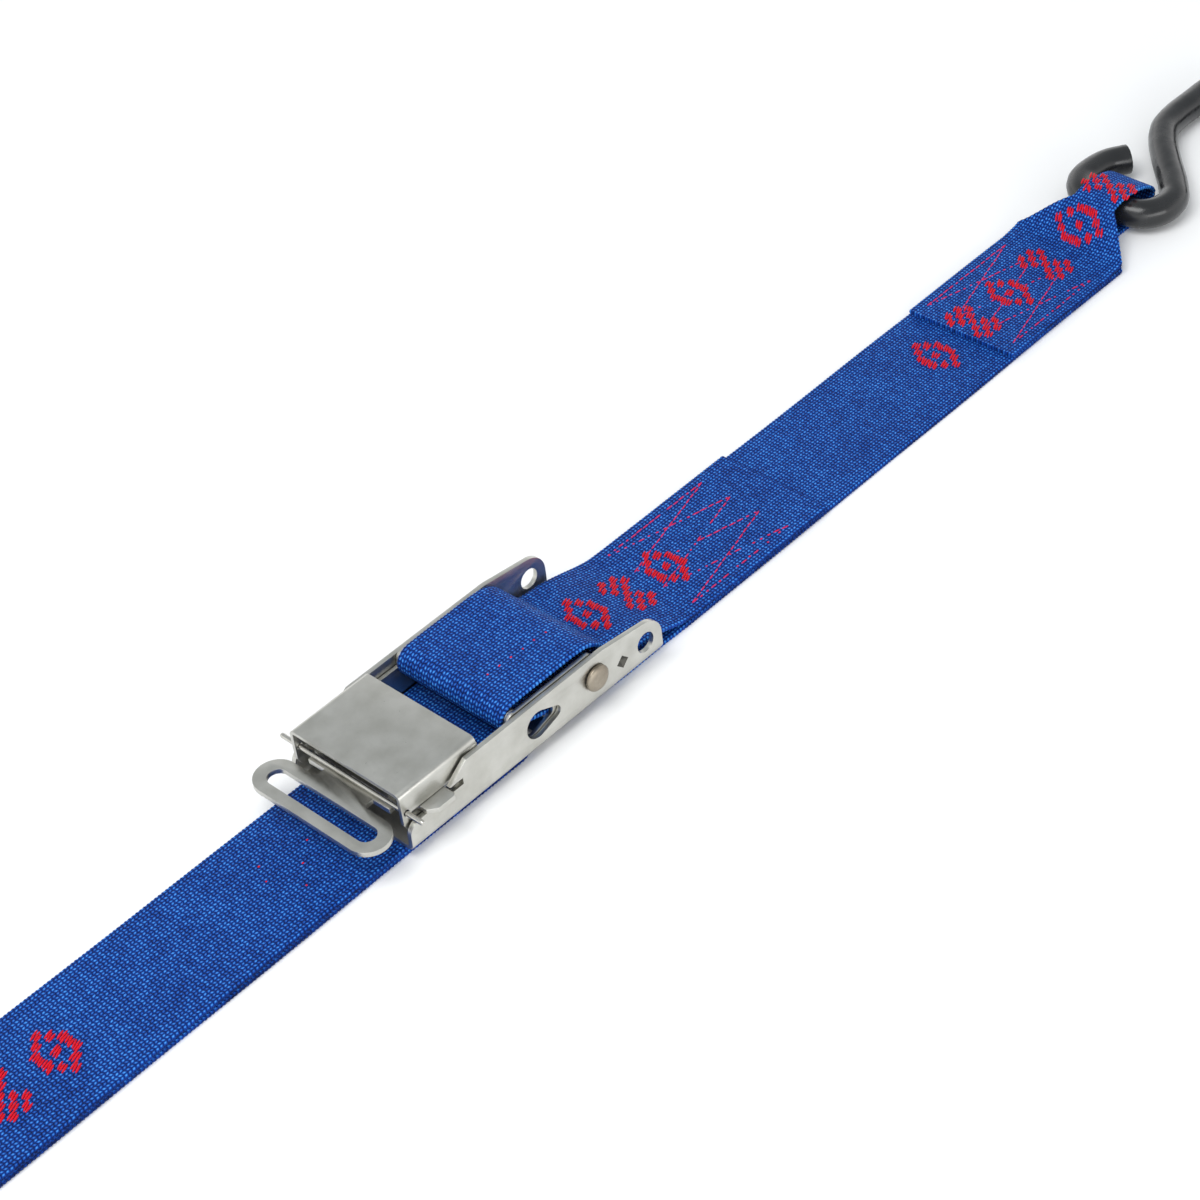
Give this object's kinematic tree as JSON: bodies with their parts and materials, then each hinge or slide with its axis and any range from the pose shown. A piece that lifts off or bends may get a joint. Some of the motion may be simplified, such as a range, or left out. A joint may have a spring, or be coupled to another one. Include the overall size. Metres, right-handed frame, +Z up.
{
  "type": "over-centre strap tie-down",
  "caption": "Webbing tie-down with a bent-steel over-centre buckle, sprung slide latch with pull ring, and a coated hook sewn to each end.",
  "frame": {"origin": "under the middle of the laid-out strap, on the surface it lies on", "axes": "+X along the strap towards the fixed hook (hook b), +Y across the webbing, +Z up"},
  "size_m": [0.9692, 0.069, 0.0274],
  "materials": {
    "stainless_plate": "tumbled stainless sheet, satin",
    "rivet_steel": "headed rivet, slightly brown",
    "spring_wire": "drawn spring wire",
    "hook_wire": "zinc plated",
    "hook_vinyl": "dipped black vinyl, glossy",
    "webbing": "woven royal-blue polyester",
    "thread": "red polyester sewing thread"
  },
  "bodies": {
    "buckle_frame": {"frame_channel": "stainless_plate", "pivot_rivet_left": "rivet_steel", "pivot_rivet_right": "rivet_steel", "strap_a": "webbing", "stitch_hook_a": "thread", "stitch_tail_hem": "thread"},
    "handle": {"handle_cover": "stainless_plate", "handle_bar": "stainless_plate", "latch_spring": "spring_wire"},
    "latch": {"latch_slide": "stainless_plate"},
    "strap_b_body": {"strap_b": "webbing", "stitch_hook_b": "thread", "stitch_handle_loop": "thread"},
    "hook_a": {"hook_a_steel": "hook_wire", "hook_a_coating": "hook_vinyl"},
    "hook_b": {"hook_b_steel": "hook_wire", "hook_b_coating": "hook_vinyl"}
  },
  "joints": [
    {"name": "handle_pivot", "type": "hinge", "parent": "buckle_frame", "child": "handle", "pos_m": [0.0355, 0, 0.0153], "axis": [0, 1, 0], "range_deg": [0, 140]},
    {"name": "latch_travel", "type": "slide", "parent": "handle", "child": "latch", "axis": [-1, 0, 0], "range_m": [-0.0032, 0.003], "stiffness_N_per_m": 600, "springref_m": -0.0032, "deforming": ["latch_spring"]},
    {"name": "strap_b_swing", "type": "hinge", "parent": "handle", "child": "strap_b_body", "pos_m": [-0.0006, 0, 0.0217], "axis": [0, 1, 0], "range_deg": [-140, 0]},
    {"name": "hook_a_swivel", "type": "hinge", "parent": "buckle_frame", "child": "hook_a", "pos_m": [-0.366, 0, 0.0079], "axis": [0, 1, 0], "range_deg": [-10, 75]},
    {"name": "hook_b_swivel", "type": "hinge", "parent": "strap_b_body", "child": "hook_b", "pos_m": [0.366, 0, 0.0079], "axis": [0, -1, 0], "range_deg": [-10, 75]}
  ],
  "couplings": [
    {"joint": "strap_b_swing", "follows": "handle_pivot", "ratio": -1}
  ]
}
